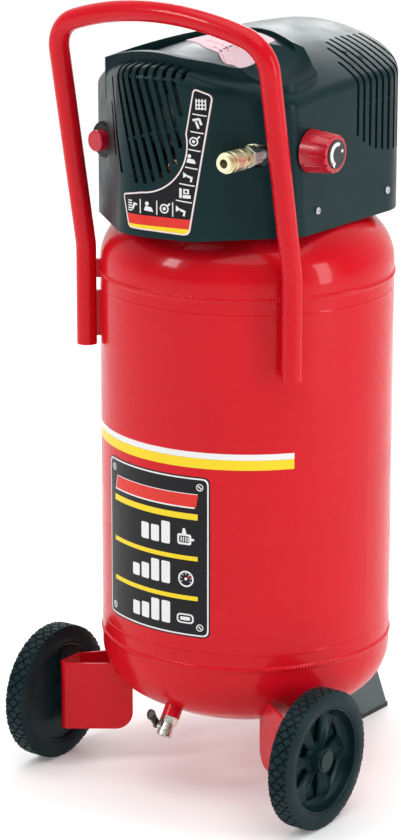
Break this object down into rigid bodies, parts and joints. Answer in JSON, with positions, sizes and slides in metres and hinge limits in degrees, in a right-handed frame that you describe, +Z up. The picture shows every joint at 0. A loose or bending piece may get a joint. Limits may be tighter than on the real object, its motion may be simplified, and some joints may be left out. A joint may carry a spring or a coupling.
{
  "type": "air compressor",
  "caption": "Upright workshop air compressor: red receiver tank on a rear foot and side wheels, bent push handle, dark moulded hood with vents, regulator knob, quick coupler and push switch.",
  "frame": {"origin": "on the floor, below the centre of the overall box", "axes": "+Z up, -Y is the front with the controls, wheels and push handle, +X is the side with the regulator knob"},
  "size_m": [0.42, 0.464, 0.959],
  "materials": {
    "red_paint": "gloss enamel",
    "hood_plastic": "satin moulded, fine grain",
    "tyre_rubber": "matt block tread",
    "wheel_plastic": "satin moulded",
    "dark_paint": "satin enamel",
    "black_rubber": "matt",
    "zinc_steel": "zinc plated",
    "nickel": "nickel plated",
    "brass": "turned",
    "copper": "drawn tube",
    "red_plastic": "gloss moulded",
    "black_plastic": "satin moulded",
    "cast_aluminium": "cast"
  },
  "bodies": {
    "frame": {"axle_bolts": "zinc_steel", "axle_nuts": "zinc_steel", "axle_washers": "zinc_steel", "button_bezel": "black_plastic", "cable_gland": "black_plastic", "capacitor": "black_plastic", "check_valve": "brass", "coupler_balls": "zinc_steel", "coupler_body": "brass", "coupler_nut": "zinc_steel", "cylinder_head": "cast_aluminium", "discharge_pipe": "copper", "drain_boss": "red_paint", "drain_valve_body": "nickel", "handle": "red_paint", "handle_end_caps": "red_paint", "handle_weld_tabs": "red_paint", "head_bolts": "zinc_steel", "hood": "hood_plastic", "hood_screws": "zinc_steel", "intake_filter": "black_plastic", "left_wheel_bracket": "red_paint", "manifold_pipe": "brass", "motor_bearings": "zinc_steel", "motor_end_bells": "cast_aluminium", "motor_housing": "cast_aluminium", "motor_stator": "zinc_steel", "pressure_switch": "black_plastic", "pump_crankcase": "dark_paint", "pump_cylinder": "cast_aluminium", "rear_foot_bracket": "dark_paint", "rear_foot_pad": "black_rubber", "regulator_body": "cast_aluminium", "right_wheel_bracket": "red_paint", "rubber_mounts": "black_rubber", "saddle_plate": "dark_paint", "saddle_ring": "red_paint", "safety_valve_body": "brass", "tank_bottom_head": "red_paint", "tank_port_bosses": "red_paint", "tank_shell": "red_paint", "tank_top_head": "red_paint", "tank_weld_beads": "red_paint", "unloader_pipe": "black_plastic", "valve_plate": "cast_aluminium"},
    "left_wheel": {"left_tyre": "tyre_rubber", "left_rim": "wheel_plastic", "left_hub_cap": "wheel_plastic"},
    "right_wheel": {"right_tyre": "tyre_rubber", "right_rim": "wheel_plastic", "right_hub_cap": "wheel_plastic"},
    "pressure_knob": {"regulator_knob": "red_plastic", "knob_cap": "black_plastic"},
    "switch_button": {"power_button": "red_plastic"},
    "drain_handle": {"drain_lever": "black_plastic"},
    "release_sleeve": {"coupler_sleeve": "brass"},
    "relief_stem": {"safety_valve_stem": "brass"},
    "rotor": {"motor_rotor": "cast_aluminium", "cooling_fan": "black_plastic"},
    "piston": {"piston_rod": "cast_aluminium"}
  },
  "joints": [
    {"name": "left_wheel_spin", "type": "hinge", "parent": "frame", "child": "left_wheel", "pos_m": [-0.195, -0.1485, 0.0835], "axis": [1, 0, 0], "continuous": true},
    {"name": "right_wheel_spin", "type": "hinge", "parent": "frame", "child": "right_wheel", "pos_m": [0.195, -0.1485, 0.0835], "axis": [1, 0, 0], "continuous": true},
    {"name": "pressure_knob_turn", "type": "hinge", "parent": "frame", "child": "pressure_knob", "pos_m": [0.16, -0.0955, 0.79], "axis": [1, 0, 0], "range_deg": [-540, 540]},
    {"name": "button_push", "type": "slide", "parent": "frame", "child": "switch_button", "axis": [0.1736, 0.9848, 0], "range_m": [0, 0.006]},
    {"name": "drain_lever_turn", "type": "hinge", "parent": "frame", "child": "drain_handle", "pos_m": [0, -0.17961, 0.08869], "axis": [1, 0, 0], "range_deg": [0, 90]},
    {"name": "sleeve_pull", "type": "slide", "parent": "frame", "child": "release_sleeve", "axis": [0, 1, 0], "range_m": [0, 0.0045], "stiffness_N_per_m": 1200, "springref_m": -0.003},
    {"name": "relief_stem_pull", "type": "slide", "parent": "frame", "child": "relief_stem", "axis": [-1, 0, 0], "range_m": [0, 0.003], "stiffness_N_per_m": 800, "springref_m": -0.002},
    {"name": "motor_spin", "type": "hinge", "parent": "frame", "child": "rotor", "pos_m": [0, 0.0205, 0.808], "axis": [1, 0, 0], "continuous": true},
    {"name": "piston_slide", "type": "slide", "parent": "frame", "child": "piston", "axis": [0, -1, 0], "range_m": [0, 0.022]}
  ]
}
